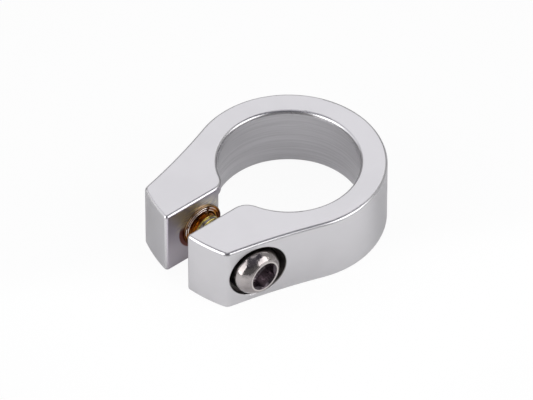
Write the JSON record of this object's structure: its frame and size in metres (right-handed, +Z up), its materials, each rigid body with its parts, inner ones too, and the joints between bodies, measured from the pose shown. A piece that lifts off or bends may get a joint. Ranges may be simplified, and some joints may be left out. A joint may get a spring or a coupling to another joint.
{
  "type": "seatpost clamp",
  "caption": "One-piece split-ring seatpost clamp with a lipped bore and two ears, drawn together by a domed socket screw in a brass bush.",
  "frame": {"origin": "centre of the seat tube bore at half the band's height, level with the screw's axis", "axes": "+Z up along the bore towards the lip, where the seatpost leaves; the ears and their gap point along -Y; +X runs along the screw from the brass bush towards the screw's head"},
  "size_m": [0.0374, 0.0466, 0.014],
  "materials": {
    "band_aluminium": "satin silver anodised, edges polished",
    "screw_steel": "polished",
    "bush_brass": "turned"
  },
  "bodies": {
    "band": {"clamp_band": "band_aluminium", "thread_bush": "bush_brass"},
    "screw": {"clamp_screw": "screw_steel"}
  },
  "joints": [
    {"name": "screw_turn", "type": "hinge", "parent": "band", "child": "screw", "pos_m": [0, -0.01925, 0], "axis": [1, 0, 0], "range_deg": [-360, 360]}
  ]
}
